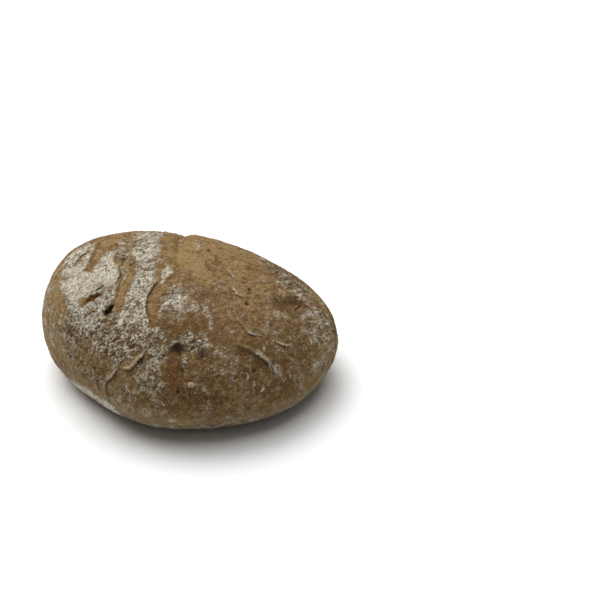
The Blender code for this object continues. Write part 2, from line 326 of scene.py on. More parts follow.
# Where flour lies. cover: how much of the skin it hides; rough: how crackled the skin is there;
# smooth: how far it evens the crackle out; soft: how slowly its edge thins out, on the map; wander:
# how far its edge roams, 1 where it isn't given.
flourPatches = dict(
    bigPatch=dict(cover=0.93, rough=0.40, smooth=0.45, soft=0.032, outline=[
        (-470, -200), (-420, -200), (-330, -180), (-240, -165), (-220, -127), (-200, -90), (-180, -47),
        (-162, -18), (-135, -12), (-115, -30), (-105, -77), (-90, -127), (-70, -170), (-80, -230),
        (-110, -270), (-150, -300), (-200, -325), (-260, -345), (-310, -370), (-310, -400), (-370, -380),
        (-430, -340), (-440, -260)]),
    belowBig=dict(cover=0.82, rough=1.0, soft=0.035, outline=[
        (-430, -330), (-310, -380), (-260, -370), (-170, -310), (-120, -270), (-70, -250), (-65, -300),
        (-78, -355), (-90, -400), (-120, -450), (-170, -480), (-220, -520), (-340, -520), (-400, -460),
        (-420, -400)]),
    endPatch=dict(cover=0.84, rough=0.6, soft=0.030, outline=[
        (-462, -105), (-460, -20), (-385, 20), (-302, 25), (-252, 12), (-225, -8), (-222, -65),
        (-225, -105), (-245, -162), (-297, -200), (-373, -210), (-462, -200)]),
    crownStripe=dict(cover=0.86, rough=0.9, soft=0.020, wander=0.7, outline=[
        (-240, 300), (-120, 320), (-80, 250), (-20, 130), (20, 40), (30, -10), (50, -40), (60, -70),
        (72, -120), (88, -170), (92, -200), (88, -250), (94, -320), (113, -390), (110, -430), (20, -470),
        (-80, -490), (-50, -420), (-30, -340), (-20, -260), (-10, -200), (-15, -125), (-28, -95),
        (-50, -45), (-65, 2), (-105, 55), (-155, 115), (-200, 180)]),
    notchFlour=dict(cover=0.95, rough=0.5, soft=0.007, wander=0.4, outline=[
        (85, -120), (78, -73), (75, -35), (88, -45), (115, -75), (110, -113), (115, -170), (103, -167),
        (98, -137)]),
    tearSide=dict(cover=0.66, rough=0.8, soft=0.016, wander=0.5, outline=[
        (132, -170), (150, -145), (190, -170), (210, -230), (200, -300), (170, -350), (138, -365),
        (124, -300), (124, -230)]),
    cliffFlour=dict(cover=1.05, rough=0.3, soft=0.008, wander=0.5, outline=[
        (60, -175), (75, -165), (92, -185), (83, -230), (84, -290), (91, -340), (107, -395), (95, -400),
        (78, -340), (70, -290), (70, -230)]),
    besideTear=dict(cover=0.62, rough=0.7, soft=0.050, outline=[
        (128, -270), (135, -200), (155, -120), (210, -150), (250, -190), (280, -240), (270, -300),
        (220, -340), (160, -380), (120, -340)]),
    thinStreak=dict(cover=0.62, rough=0.5, soft=0.025, outline=[
        (210, -130), (240, -150), (310, -210), (370, -280), (400, -320), (350, -330), (300, -260),
        (250, -190)]),
    farEnd=dict(cover=0.52, rough=0.7, soft=0.028, outline=[
        (595, 62), (615, 140), (680, 218), (760, 270), (848, 238), (897, 125), (840, -5), (770, -50),
        (692, -28), (635, 18)]),
    farRim=dict(cover=0.52, rough=0.5, soft=0.030, outline=[
        (850, 130), (930, 200), (990, 40), (1000, -130), (900, -220), (870, -100), (880, 10)]),
    rightShoulder=dict(cover=0.46, rough=1.0, soft=0.050, outline=[
        (290, 480), (390, 460), (490, 420), (580, 360), (630, 270), (620, 180), (560, 110), (480, 120),
        (420, 180), (360, 250)]),
    speckledFront=dict(cover=0.58, rough=1.0, soft=0.060, outline=[
        (-430, -410), (-160, -450), (-40, -430), (50, -420), (150, -410), (180, -450), (130, -560),
        (60, -660), (0, -720), (-100, -740), (-220, -680), (-350, -620), (-450, -570), (-470, -500)]),
    leftSpeckle=dict(cover=0.47, rough=0.9, soft=0.080, outline=[
        (-600, -450), (-440, -400), (-320, -740), (-100, -800), (-220, -980), (-500, -960), (-660, -700)]),
    midSpeckle=dict(cover=0.48, rough=0.9, soft=0.040, outline=[
        (120, -430), (200, -450), (240, -550), (200, -660), (100, -660), (80, -550)]),
    shoulderEdge=dict(cover=0.60, rough=0.8, soft=0.020, outline=[
        (500, 220), (580, 270), (610, 180), (540, 130)]),
    browFlour=dict(cover=0.60, rough=1.0, soft=0.020, outline=[
        (200, -520), (240, -450), (290, -390), (360, -380), (400, -420), (350, -480), (280, -490)]),
    belowBrow=dict(cover=0.56, rough=1.0, soft=0.020, outline=[
        (280, -550), (320, -530), (330, -590), (310, -660), (280, -610)]),
    lowGrey=dict(cover=0.52, rough=0.8, soft=0.040, outline=[
        (40, -660), (120, -600), (200, -620), (220, -730), (190, -890), (40, -920), (-10, -830)]),
    rightGrey=dict(cover=0.38, rough=0.5, soft=0.040, outline=[
        (380, -430), (460, -380), (540, -400), (600, -480), (590, -560), (480, -580), (400, -510)]),
    curlFlour=dict(cover=0.38, rough=0.6, soft=0.020, outline=[
        (620, -300), (710, -280), (760, -360), (700, -420)]),
    leftFilm=dict(cover=0.42, rough=0.4, soft=0.100, outline=leftEdgeOutline),
    # rimLeft and rimFront: flour on the pale band under the waist, which also stands in for painted bounce
    # light from the floor
    rimLeft=dict(cover=1.00, rough=0.6, soft=0.055, outline=[
        (-830, -840), (-610, -920), (-360, -1020), (-200, -1100), (-160, -1240), (-500, -1240),
        (-780, -1040), (-920, -900)]),
    rimFront=dict(cover=0.60, rough=0.8, soft=0.040, outline=[
        (-200, -1140), (100, -1160), (450, -1100), (750, -880), (960, -660), (1080, -390), (1100, -100),
        (1220, -100), (1200, -450), (1050, -800), (700, -1160), (200, -1320)]),
    backPatch=dict(cover=0.90, rough=0.9, soft=0.040, outline=[
        (-300, 400), (-100, 360), (100, 460), (140, 640), (-40, 720), (-240, 620)]),
    backSide=dict(cover=0.66, rough=0.9, soft=0.060, outline=[
        (280, 620), (440, 600), (520, 740), (420, 880), (260, 820)]),
    farLeft=dict(cover=0.60, rough=0.8, soft=0.060, outline=[
        (-800, -20), (-660, 40), (-620, 220), (-700, 380), (-860, 280)]),
    backRim=dict(cover=0.44, rough=0.4, soft=0.060, outline=[
        (1020, 200), (800, 800), (200, 1060), (-500, 980), (-1020, 400), (-1160, 400), (-600, 1160),
        (200, 1220), (920, 920), (1160, 200)]),
)


# Where the bake differs, and where shade is painted in. value: 0 pale tan, 1 dark brown, more is near
# black, used as painted shade; red: how rusty; clean: how free of flour.
bakePatches = dict(
    leftEdge=dict(value=-0.06, red=0.30, soft=0.10, outline=leftEdgeOutline),
    leftFoot=dict(value=0.28, red=0.15, soft=0.08, outline=[
        (-520, -660), (-300, -800), (-50, -800), (20, -960), (-60, -1140), (-500, -1080), (-800, -840)]),
    # painted light: paler bake that lifts the lower front
    frontFoot=dict(value=0.30, red=0.30, soft=0.07, outline=[
        (0, -980), (300, -950), (560, -850), (800, -670), (980, -400), (1160, -440), (1000, -840),
        (660, -1120), (200, -1260), (-60, -1200)]),
    rightBrown=dict(value=0.70, red=0.45, soft=0.10, outline=[
        (440, -200), (600, -100), (720, -60), (920, -250), (880, -660), (550, -950), (200, -1000),
        (100, -800), (360, -550)]),
    # painted light: paler bake that lifts the lower right
    rightLow=dict(value=0.40, red=0.34, soft=0.06, outline=[
        (500, -660), (580, -500), (700, -390), (850, -400), (900, -540), (740, -720), (560, -800)]),
    brownMid=dict(value=0.95, red=0.60, soft=0.07, outline=[
        (160, -390), (230, -340), (300, -260), (270, -180), (360, -240), (420, -360), (360, -440),
        (270, -420), (200, -500), (160, -480)]),
    crownTan=dict(value=0.06, red=0.08, clean=0.5, soft=0.05, outline=[
        (-100, 320), (20, 400), (120, 340), (220, 320), (300, 400), (380, 240), (450, 50), (460, -80),
        (410, -120), (340, -60), (270, 0), (200, 10), (170, -10), (140, -30), (90, -40), (30, 40)]),
    rightTan=dict(value=0.20, red=0.22, clean=0.7, soft=0.03, outline=[
        (400, -60), (440, -40), (490, -70), (520, -190), (510, -230), (460, -170)]),
    longTan=dict(value=0.10, red=0.12, clean=0.75, soft=0.02, outline=[
        (-90, -100), (-80, -60), (-40, -40), (-15, -130), (-10, -200), (-32, -275), (-37, -325),
        (-50, -390), (-68, -400), (-80, -355), (-62, -300), (-66, -230), (-78, -140)]),
    endTan=dict(value=0.16, red=0.25, clean=0.7, soft=0.024, outline=[
        (-235, -150), (-216, -100), (-212, -40), (-235, 20), (-290, 50), (-260, 160), (-170, 180),
        (-80, 40), (-60, -30), (-105, -30), (-130, 0), (-165, -5), (-190, -45), (-210, -90), (-225, -130)]),
    tearFloor=dict(value=0.26, red=0.45, clean=0.9, soft=0.015, wander=0.4, outline=[
        (90, -210), (97, -190), (118, -168), (122, -120), (127, -80), (160, -90), (145, -130),
        (130, -175), (122, -225), (120, -285), (130, -365), (138, -430), (120, -400), (98, -300),
        (90, -250)]),
    tearTop=dict(value=0.06, red=0.10, clean=0.9, soft=0.02, wander=0.4, outline=[
        (100, -200), (105, -182), (118, -165), (125, -85), (160, -90), (145, -130), (130, -175),
        (118, -205)]),
    tearFoot=dict(value=0.75, red=0.70, clean=0.8, soft=0.025, outline=[
        (110, -300), (135, -300), (150, -420), (130, -430)]),
    redFloor=dict(value=0.60, red=1.1, clean=0.9, soft=0.010, wander=0.9, outline=[
        (-302, -367), (-270, -355), (-228, -333), (-170, -308), (-155, -320), (-200, -360), (-242, -383),
        (-297, -387)]),
    # painted shade: the floor of darkHole is painted near black
    holeFloorShade=dict(value=1.5, red=0.1, clean=1.0, soft=0.015, outline=[
        (-140, -435), (-110, -395), (-85, -360), (-70, -375), (-100, -420), (-125, -445)]),
    smoothFront=dict(value=0.85, red=0.60, clean=1.0, soft=0.035, outline=[
        (210, -560), (270, -540), (300, -640), (290, -760), (240, -800), (210, -700)]),
    browShadow=dict(value=1.40, red=0.0, clean=0.7, soft=0.020, wander=0.4, outline=[
        (215, -510), (237, -484), (272, -474), (290, -500), (273, -537), (235, -550)]),
    # painted shade under the brow, to the right of browShadow
    besideBrowShade=dict(value=1.42, red=0.0, clean=0.6, soft=0.024, wander=0.4, outline=[
        (335, -475), (355, -450), (382, -462), (388, -505), (360, -522)]),
    # painted shade: the side dent is darkened toward near black
    darkDent=dict(value=1.22, red=0.15, clean=0.6, soft=0.026, outline=[
        (495, 20), (505, 80), (538, 117), (580, 150), (610, 155), (600, 95), (565, 52), (542, -5),
        (518, -5)]),
    rustBesideNotch=dict(value=0.50, red=0.75, soft=0.03, outline=[
        (130, -30), (160, 0), (200, -40), (170, -80)]),
    rustBelowNotch=dict(value=0.72, red=0.80, soft=0.018, outline=[
        (193, 32), (195, 75), (215, 103), (235, 75), (225, 45), (220, -5)]),
    valleyTan=dict(value=-0.45, red=0.0, clean=0.6, soft=0.030, outline=[
        (80, 10), (65, 83), (30, 220), (55, 230), (98, 85), (145, 50), (195, 10), (252, -42), (252, -90),
        (188, -42), (123, -10)]),
    lowBrown=dict(value=0.32, red=0.50, clean=0.12, soft=0.060, outline=[
        (-505, -667), (-380, -660), (-242, -682), (-135, -730), (-130, -782), (-218, -858), (-343, -938),
        (-498, -900), (-562, -785)]),
    rustShoulder=dict(value=0.60, red=0.65, soft=0.03, outline=[
        (310, 170), (350, 200), (380, 140), (340, 110)]),
)

lateFlour = dict(                        # on bare places and floors of tears, so it comes last
    fold=dict(cover=0.80, rough=0.8, soft=0.007, wander=0.3, outline=[
        (-85, -110), (-73, -100), (-47, -125), (-50, -165), (-42, -215), (-50, -218), (-62, -167),
        (-80, -135)]),
    besideStripe=dict(cover=0.46, rough=0.9, soft=0.030, outline=[
        (-200, 140), (-120, 90), (-50, -30), (-57, -80), (-105, -55), (-165, 40)]),
    lowCluster=dict(cover=0.62, rough=0.9, soft=0.020, outline=[
        (-500, -580), (-440, -570), (-380, -620), (-400, -670), (-470, -690), (-510, -640)]),
    besideNotch=dict(cover=0.50, rough=0.8, soft=0.016, outline=[
        (50, 290), (80, 280), (110, 223), (150, 145), (140, 103), (100, 165), (70, 240)]),
    specks=dict(cover=0.50, rough=0.8, soft=0.016, outline=[
        (500, -70), (512, -100), (525, -165), (535, -175), (535, -100)]),
)

skin = dict(
    patchWander=0.018,                          # how far the edges of the patches roam, on the map
    wanderSize=0.009, smallWanderSize=0.0028, smallWander=0.9,
    bareCover=0.26, bareRough=0.50,             # dusting and crackle away from the patches
    dustSize=0.016, dustSpread=0.16,
    bakeMiddle=0.50, bakeSpread=0.55, bakeSize=0.028,
    redMiddle=0.28, redSpread=0.45, redSize=0.012,
    clumpSize=0.007, clumpSpread=0.28,          # how unevenly flour lies, in large lumps and small
    smallClumpSize=0.0034, smallClumpSpread=0.30,
    unevenSize=0.011, unevenHeight=0.00045,     # low swells and dips of the whole crust
    wrinkleSize=0.0012, wrinkleHeight=0.00036,  # worm-like wrinkles of the crackled skin
    wrinkleHeading=66, wrinkleStretch=0.5,      # they run this way, in degrees from +X
    wrinkleMix=(2.1, 1.5, 2.0),                 # shares of middling, large and small wrinkles
    mixSize=0.008, mixSpread=1.6,               # how that changes over the crust
    crackSize=0.0042, crackDepth=0.00040, crackWidth=0.055, crackBend=0.0012,
    pimpleSize=0.0010, pimpleHeight=0.00019,
    foldSize=0.0024, foldHeight=0.00022, foldBend=0.003,           # soft folds of bare skin
    foldHeading=-40, foldStretch=0.25,
    rimBand=(1.00, 1.20),                       # pale band under the waist, on the map: flour, and painted bounce light from the floor
)


def insidePatch(places, outline):        # distance inside an outline on the map, negative outside
    corners = np.array(outline) / 1000
    distance = np.full(len(places), np.inf)
    within = np.zeros(len(places), bool)
    for start, stop in zip(corners, np.roll(corners, -1, axis=0)):
        span = stop - start
        away = places - start
        t = np.clip(away @ span / (span @ span), 0, 1)
        distance = np.minimum(distance, np.linalg.norm(away - t[:, None] * span, axis=1))
        spans = (start[1] > places[:, 1]) != (stop[1] > places[:, 1])
        rise = span[1] if span[1] else 1e-12
        within ^= spans & (away[:, 0] < span[0] * away[:, 1] / rise)
    return np.where(within, distance, -distance)


def markRelief(points, normals, ragged, kind, half, rise, route, steep=0, cliff=0, floorShare=0.5,
               shade=1, curl=1, torn=(0, 1), fray=1):
    distance, share, side = besideRoute(points, normals, route)
    taper = markShape["endTaper"]
    fade = smoothStep(0, taper, share) * smoothStep(0, taper, 1 - share)
    nothing = np.zeros(len(points))
    if kind == "tear":
        half = half * (0.35 + 0.65 * fade)
        sheer = (side == cliff) | (cliff == 0)
        distance = distance / np.where(sheer, 1, markShape["gentle"])
        distance = distance + fray * ragged * np.minimum(1, distance / half) * np.where(sheer, 1, 0.5)
        trench = 1 - smoothStep(np.where(sheer, floorShare, 0.1) * half, half, distance)
        rim = bell((distance - 1.3 * half) / (0.45 * half)) * fade * sheer
        # painted shade: a dark band down the tear's wall, faint on the gentle side
        wallShade = trench * (1 - trench) * 4 * np.where(sheer, 1, 0.15) * fade
        return rise * trench - markShape["rimShare"] * rise * rim, trench, 0.2 * rim, shade * wallShade
    if kind == "lip":
        beside = side * steep * distance + 0.4 * ragged
        ridge = fade * bell(beside / np.where(beside > 0, 0.4 * half, 0.9 * half))
        # painted shade: a dark line beside the lip on its steep side
        besideShade = fade * bell((beside - markShape["shadeBeside"] * half) / (0.4 * half))
        bare = smoothStep(torn[0], torn[0] + 0.12, share) * smoothStep(0, 0.12, torn[1] - share)
        pale = ridge * (0.15 + 0.35 * bare * (curl > 0))
        return markShape["ridgeShare"] * rise * ridge, nothing, pale, 0.6 * shade * besideShade
    dip = (0.3 + 0.7 * fade) * bell(distance / half)
    return rise * dip, nothing, nothing, nothing


def aroundSpot(points, u, v, radius):    # 1 at a place on the map, and falls off around it
    spot = smoothCrust(np.array([(u, v)]) / 1000)
    return bell(np.linalg.norm(points - spot, axis=1) / radius)


def patchShare(places, wander, patch):   # how far each place lies in a patch, whose edge wanders
    roaming = places + skin["patchWander"] * patch.get("wander", 1) * wander
    return smoothStep(-patch["soft"], patch["soft"], insidePatch(roaming, patch["outline"]))


def skinFields(places):                  # all that the skin is at each place: form, flour and bake
    points = smoothCrust(places)
    normals = outward(places)
    reach = np.hypot(places[:, 0], places[:, 1])

    # Flour and bake, with patches whose edges wander
    large, small = skin["wanderSize"], skin["smallWanderSize"]
    wander = np.stack([wave(points, large, 3) + skin["smallWander"] * wave(points, small, 9),
                       wave(points, large, 5) + skin["smallWander"] * wave(points, small, 7)], axis=1)
    flour = skin["bareCover"] + skin["dustSpread"] * wave(points, skin["dustSize"], 1)
    rough = np.full(len(places), skin["bareRough"])
    bake = skin["bakeMiddle"] + skin["bakeSpread"] * wave(points, skin["bakeSize"], 2)
    red = skin["redMiddle"] + skin["redSpread"] * wave(points, skin["redSize"], 4)
    for patch in flourPatches.values():
        lies = patchShare(places, wander, patch)
        flour = np.maximum(flour, patch["cover"] * lies)
        rough = np.maximum(rough, patch["rough"] * lies) * (1 - patch.get("smooth", 0) * lies)
    for patch in bakePatches.values():
        lies = patchShare(places, wander, patch)
        bake += lies * (patch["value"] - bake)
        red += lies * (patch["red"] - red)
        flour -= lies * patch.get("clean", 0) * (flour + 0.1)
    uneven = (skin["clumpSpread"] * wave(points, skin["clumpSize"], 18)
              + skin["smallClumpSpread"] * wave(points, skin["smallClumpSize"], 20))
    flour += uneven

    # Lumps, marks and pits
    height = lumps(points) + skin["unevenHeight"] * wave(points, skin["unevenSize"], 14)
    height += 0.4 * skin["unevenHeight"] * wave(points, skin["unevenSize"] * 0.4, 15)     # and smaller ones
    # dark holds painted shade: along tear walls, beside lips, in pits and under curls
    floor, pale, dark = np.zeros((3, len(places)))
    ragged = markShape["raggedness"] * (wave(points, markShape["raggedSize"], 6)
                                        + 0.6 * wave(points, markShape["raggedSize"] * 0.4, 16))
    for mark in (*marks.values(), *fineMarks.values()):
        line = smoothCrust(smoothRoute(mark["route"]))
        margin = 4 * mark["half"]
        near = np.all((points > line.min(axis=0) - margin) & (points < line.max(axis=0) + margin), axis=1)
        if near.any():
            rise, trench, lip, wallShade = markRelief(points[near], normals[near], ragged[near], **mark)
            height[near] += rise
            floor[near] = np.maximum(floor[near], trench)
            pale[near] = np.maximum(pale[near], lip)
            dark[near] = np.maximum(dark[near], wallShade)
    for u, v, radius, rise in swells:
        height += rise * aroundSpot(points, u, v, radius)
    # Pits are sunk and darkened; the darkening is painted shade
    for u, v, radius in pits["spots"]:
        hole = aroundSpot(points, u, v, radius)
        height -= pits["depthShare"] * radius * hole
        dark = np.maximum(dark, hole)

    # The skin's own crackle, smooth on the floor of a tear
    rough = rough * (1 - 0.8 * floor)
    flour = flour * (1 - 0.8 * floor)
    for patch in lateFlour.values():
        lies = patchShare(places, wander, patch)
        flour = np.maximum(flour, (patch["cover"] + uneven) * lies)
        rough = np.maximum(rough, patch["rough"] * lies)
    turned = combed(points, skin["wrinkleHeading"], skin["wrinkleStretch"])
    middling, large, small = skin["wrinkleMix"]
    coarse = skin["mixSpread"] * wave(points, skin["mixSize"], 21)
    ridge = np.tanh((middling - coarse) * wave(turned, skin["wrinkleSize"], 8)
                    + (large + coarse) * wave(turned, skin["wrinkleSize"] * 2.3, 10)
                    + small * wave(points, skin["wrinkleSize"] * 0.6, 11))
    bent = points + skin["crackBend"] * wander[:, :1]
    crack = bell(wave(bent, skin["crackSize"], 12) / skin["crackWidth"])
    short = bell(wave(bent, skin["crackSize"] * 0.5, 17) / skin["crackWidth"])
    crack = np.maximum(crack, 0.8 * short * smoothStep(-0.1, 0.3, wander[:, 0])) * rough
    pimple = wave(points, skin["pimpleSize"], 13)
    fine = skin["wrinkleHeight"] * (ridge - 0.5) * rough ** 1.3
    fine -= skin["crackDepth"] * crack
    fine += skin["pimpleHeight"] * pimple * (0.4 + 0.6 * rough)
    folded = combed(points + skin["foldBend"] * wander[:, :1], skin["foldHeading"], skin["foldStretch"])
    fine += skin["foldHeight"] * wave(folded, skin["foldSize"], 19) * (1 - 0.6 * rough)
    quiet = 1 - smoothStep(*loaf["smoothUnder"], reach)
    relief = ((height + fine) * quiet)[:, None]
    return dict(
        places=places, normals=normals, plain=points, points=points + normals * relief,
        flour=flour, bake=bake, red=red, ridge=ridge * rough, crack=crack, pale=pale, dark=dark,
        rim=smoothStep(*skin["rimBand"], reach), rough=rough,
    )


def ringPlan():                          # distances of the mesh's rings on the map, and their points
    reach = np.linspace(0, 2, 1201)
    arc = np.zeros(len(reach))
    turns = np.linspace(0, 2 * math.pi, 9)[:-1]
    for turn in turns:
        line = smoothCrust(np.stack([reach * math.cos(turn), reach * math.sin(turn)], axis=1))
        arc += passedAlong(line) / len(turns)
    plan = []
    legs = [(0, 1, crustMesh["topStep"]), (1, loaf["foot"], crustMesh["underStep"]),
            (loaf["foot"], 1.97, crustMesh["baseStep"])]
    around = np.linspace(0, 2 * math.pi, 121)
    for start, stop, step in legs:
        low, high = np.interp([start, stop], reach, arc)
        for spot in np.linspace(low, high, round((high - low) / step) + 1)[1:]:
            ring = np.interp(spot, arc, reach)
            loop = smoothCrust(np.stack([ring * np.cos(around), ring * np.sin(around)], axis=1))
            length = np.linalg.norm(np.diff(loop, axis=0), axis=1).sum()
            plan.append((ring, max(6, round(length / step))))
    return plan


def zipRings(first, firstCount, second, secondCount):      # triangles between two rings of points
    faces = []
    i = j = 0
    while i < firstCount or j < secondCount:
        here, there = first + i % firstCount, second + j % secondCount
        if j == secondCount or (i < firstCount and (i + 1) * secondCount <= (j + 1) * firstCount):
            i += 1
            faces.append((here, there, first + i % firstCount))
        else:
            j += 1
            faces.append((here, there, second + j % secondCount))
    return faces


def vertexNormals(points, faces):
    corners = points[faces]
    across = np.cross(corners[:, 1] - corners[:, 0], corners[:, 2] - corners[:, 0])
    total = np.zeros_like(points)
    for corner in range(3):
        np.add.at(total, faces[:, corner], across)
    return total / np.maximum(np.linalg.norm(total, axis=1, keepdims=True), 1e-15)


class Value:                             # a socket in a shader, so that sums read as sums
    def __init__(self, sheet, socket):
        self.sheet, self.socket = sheet, socket

    def math(self, operation, other):
        return self.sheet.add("ShaderNodeMath", dict(operation=operation), {0: self, 1: other})

    def __add__(self, other):
        return self.math("ADD", other)

    __radd__ = __add__

    def __sub__(self, other):
        return self.math("SUBTRACT", other)

    def __rsub__(self, other):
        return self.sheet.add("ShaderNodeMath", dict(operation="SUBTRACT"), {0: other, 1: self})

    def __mul__(self, other):
        return self.math("MULTIPLY", other)

    def step(self, low, high):           # 0 below low, 1 above high, smooth between
        return self.sheet.add(
            "ShaderNodeMapRange", dict(interpolation_type="SMOOTHSTEP"),
            {"Value": self, "From Min": low, "From Max": high})


class Sheet:                             # one material and its nodes
    def __init__(self, name):
        self.material = bpy.data.materials.new(name)
        self.material.use_nodes = True
        self.tree = self.material.node_tree
        self.shader = self.tree.nodes["Principled BSDF"]

    def add(self, kind, settings=None, values=None, out=0):
        node = self.tree.nodes.new(kind)
        for name, setting in (settings or {}).items():
            setattr(node, name, setting)
        for name, value in (values or {}).items():
            self.feed(node.inputs[name], value)
        return Value(self, node.outputs[out])

    def feed(self, socket, value):
        if isinstance(value, Value):
            self.tree.links.new(value.socket, socket)
        else:
            socket.default_value = value

    def finish(self, **inputs):
        for name, value in inputs.items():
            self.feed(self.shader.inputs[name.replace("_", " ")], value)
        return self.material

    def field(self, name):               # a value kept on the mesh's points
        return self.add("ShaderNodeAttribute", dict(attribute_name=name), out="Fac")

    def grain(self, size, detail, roughness):               # noise about 0, with lumps of this size
        spot = self.add("ShaderNodeTexCoord", out="Object")
        noiseValues = {"Vector": spot, "Scale": 1 / size, "Detail": detail, "Roughness": roughness}
        return self.add("ShaderNodeTexNoise", values=noiseValues) - 0.5

    def blend(self, share, one, other):  # one colour where share is 0, other where it is 1
        return self.add("ShaderNodeMix", dict(data_type="RGBA", clamp_factor=True),
                        {0: share, 6: one, 7: other}, out=2)


fieldNames = ("flour", "bake", "red", "ridge", "crack", "pale", "dark", "rim", "rough")

crustGrain = dict(                       # size, detail and roughness of each noise in the crust's look
    blotch=(0.009, 3, 0.5), freckle=(0.0030, 4, 0.7), speck=(0.0013, 3, 0.7), dust=(0.0007, 2, 0.7),
    shadedPore=(0.0022, 1, 0.5),
)
crustColours = dict(
    tan=(0.288, 0.187, 0.075, 1), middle=(0.172, 0.097, 0.033, 1), brown=(0.098, 0.053, 0.019, 1),
    charAndShade=(0.034, 0.022, 0.012, 1), rust=(0.190, 0.082, 0.022, 1), flour=(0.640, 0.598, 0.495, 1),
    film=(0.264, 0.206, 0.124, 1), pale=(0.470, 0.385, 0.255, 1),
    roughness=0.75, flourRoughness=0.95, gloss=0.12,
)


def crustMaterial():
    sheet = Sheet("flouredCrust")
    colours = crustColours
    flour, bake, red, ridge, crack, pale, dark, rim, rough = (sheet.field(name) for name in fieldNames)
    blotch, freckle, speck, dust, shadedPore = (sheet.grain(*grain) for grain in crustGrain.values())
    # shadedPore: small dents whose dark colour is painted shade
    shadedPore = shadedPore.step(0.20, 0.28)

    # Baked skin, from pale tan through brown to char in the cracks, and painted shade in gaps, pores and
    # shade patches
    tone = bake + blotch * 1.5 + freckle * 3.3 + speck * 2.4 + dust * 2.0 - ridge * 0.20
    colour = sheet.blend(tone.step(0.0, 0.5), colours["tan"], colours["middle"])
    colour = sheet.blend(tone.step(0.45, 1.05), colour, colours["brown"])
    rust = (red + blotch * 1.6 + freckle * 2.4).step(0.1, 1.2)
    colour = sheet.blend(rust * 0.75, colour, colours["rust"])
    # painted shade: where bake is above 1, in browShadow and the other shade patches, the crust turns near
    # black
    colour = sheet.blend((bake - 1).step(0, 0.5), colour, colours["charAndShade"])
    # painted shade in the low gaps between wrinkles, in pores and from dark; the cracks darken as well
    gap = (0 - ridge).step(0.15, 0.95)
    colour = sheet.blend(gap * 0.50 + crack * 0.7 + dark * 0.85 + shadedPore * 0.5, colour, colours["charAndShade"])
    colour = sheet.blend(pale * 0.8, colour, colours["pale"])

    # Flour lies on the ridges and leaves the cracks bare
    lies = flour + ridge * 0.42 + speck * 2.4 + dust * 1.9 + pale * 0.3
    lies = lies - crack * 0.7 - dark * 0.8 - shadedPore * 0.3
    cover = lies.step(0.34, 0.90)
    # the film is paler on the rim band: flour, and painted bounce light from the floor
    film = (flour + rim * (0.8 + blotch * 2.0) + blotch * 0.9 + speck * 0.8).step(0.12, 1.05) * 0.52
    colour = sheet.blend(film, colour, colours["film"])
    colour = sheet.blend(cover * (flour * 0.74 + 0.20), colour, colours["flour"])

    relief = (speck * 1.0 + dust * 0.7) * (rough * 0.5 + 0.4) * (1 - cover * 0.3) + cover * 0.12
    relief = relief + freckle * 0.35 - shadedPore * 0.35
    bump = sheet.add("ShaderNodeBump", values={"Height": relief, "Distance": 0.0011, "Strength": 0.9})
    roughness = colours["roughness"] + cover * (colours["flourRoughness"] - colours["roughness"])
    return sheet.finish(
        Base_Color=colour, Roughness=roughness, Specular_IOR_Level=colours["gloss"], Normal=bump)


flouredCrust = crustMaterial()


def addPiece(name, points, faces, fields, normals=None):
    mesh = bpy.data.meshes.new(name)
    mesh.from_pydata(np.asarray(points).tolist(), [], [tuple(face) for face in faces])
    mesh.shade_smooth()
    for field in fieldNames:
        values = fields[field].astype(np.float32)
        mesh.attributes.new(field, "FLOAT", "POINT").data.foreach_set("value", values)
    if normals is not None:
        mesh.normals_split_custom_set_from_vertices(normals.tolist())
    mesh.materials.append(flouredCrust)
    piece = bpy.data.objects.new(name, mesh)
    bpy.context.scene.collection.objects.link(piece)
    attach(piece, "root")
    print(name, "has", len(faces), "faces")
    return piece


def addLoose(name, points, faces, **given):      # bits that lie on the crust; fields not given are 0
    fields = {field: given.get(field, 0) + np.zeros(len(points)) for field in fieldNames}
    return addPiece(name, points, faces, fields)


def makeCrust():
    plan = ringPlan()
    places = [np.zeros((1, 2))]
    faces = []
    start, count = 0, 1
    cuts = []                                   # last ring of each piece: its first and last point
    for ring, points in plan:
        angle = np.arange(points) * 2 * math.pi / points
        places.append(ring * np.stack([np.cos(angle), np.sin(angle)], axis=1))
        if count == 1:
            faces += [(0, 1 + i, 1 + (i + 1) % points) for i in range(points)]
        else:
            faces += zipRings(start, count, start + count, points)
        start, count = start + count, points
        if len(cuts) < 3 and ring > crustMesh["splits"][len(cuts)]:
            cuts.append((start, start + count, len(faces)))
    fields = skinFields(np.concatenate(places))
    shape = fields["points"]
    low, high = fields["plain"].min(axis=0), fields["plain"].max(axis=0)
    planShift = (np.array(cadLow) + np.array(cadHigh) - low - high) / 2 * (1, 1, 0)
    shape += planShift
    faces = np.array(faces)
    normals = vertexNormals(shape, faces)
    fields["outer"] = normals
    cuts.append((start, start + count, len(faces)))
    first = firstFace = 0
    names = ("crustCrown", "crustShoulder", "crustSide", "crustUnder")
    for name, (ringStart, ringStop, lastFace) in zip(names, cuts):
        part = slice(first, ringStop)
        own = [tuple(face) for face in (faces[firstFace:lastFace] - first).tolist()]
        if name == "crustUnder":
            own.append(tuple(range(start - first, start - first + count)))       # the base's last face
        ownFields = {field: fields[field][part] for field in fieldNames}
        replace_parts(addPiece(name, shape[part], own, ownFields, normals[part]), "loaf")
        first, firstFace = ringStart, lastFace
    return fields, planShift


crustFields, planShift = makeCrust()

# Torn skin that curls up along each lip, its tip over the steep side
curls = dict(
    thickness=0.00032, spacing=0.0004, sink=0.0002,
    fullHalf=0.0016,                            # on lips narrower than this the skin is thinner
    reachOut=1.0, liftUp=1.15,                  # of the lip's half width and rise
    unevenness=0.45, unevenSize=0.004,
    outline=[(-1.2, -0.5, 1.0), (-0.6, 0.25, 1.0), (-0.05, 0.75, 0.9), (0.45, 0.98, 0.8),
             (0.85, 0.90, 0.6), (1.10, 0.62, 0.35)],          # out, up, thickness
    ragged=1.4, raggedSize=0.0013,
)


